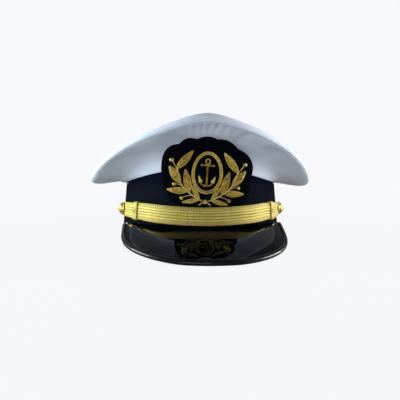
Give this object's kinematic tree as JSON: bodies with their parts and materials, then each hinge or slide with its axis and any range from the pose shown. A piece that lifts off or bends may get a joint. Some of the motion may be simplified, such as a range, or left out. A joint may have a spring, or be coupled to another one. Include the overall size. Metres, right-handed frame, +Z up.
{
  "type": "captain hat",
  "caption": "Peaked captain hat with a flared white cloth crown, ribbed navy band, gold lace chin strap, scalloped felt badge and curved patent peak.",
  "frame": {"origin": "middle of the cap's outline box, on the surface that it rests on", "axes": "-Y the way the peak points, +X to the right seen from the front, +Z up from the surface; the cap is pitched back onto its peak and the rear of its band"},
  "size_m": [0.2296, 0.293, 0.1233],
  "materials": {
    "white_cloth": "matt cotton twill",
    "navy_cloth": "matt wool cloth",
    "navy_braid": "ribbed mohair braid",
    "patent": "high gloss patent",
    "gold_lace": "woven metallic lace with a soft sheen",
    "gilt": "polished gilt",
    "black_felt": "matt felt",
    "bullion": "embroidered gold wire"
  },
  "bodies": {
    "root": {"cap_frame": "navy_cloth", "ribbed_band": "navy_braid", "crown_side": "white_cloth", "crown_top": "white_cloth", "peak": "patent", "peak_binding": "patent", "chin_strap_inner": "gold_lace", "chin_strap_outer": "gold_lace", "strap_slide_left": "gold_lace", "strap_slide_right": "gold_lace", "button_left": "gilt", "button_right": "gilt", "badge_pad": "black_felt", "spray_left": "bullion", "spray_right": "bullion", "spray_tie": "bullion", "badge_oval": "bullion", "badge_anchor": "bullion"}
  },
  "joints": []
}
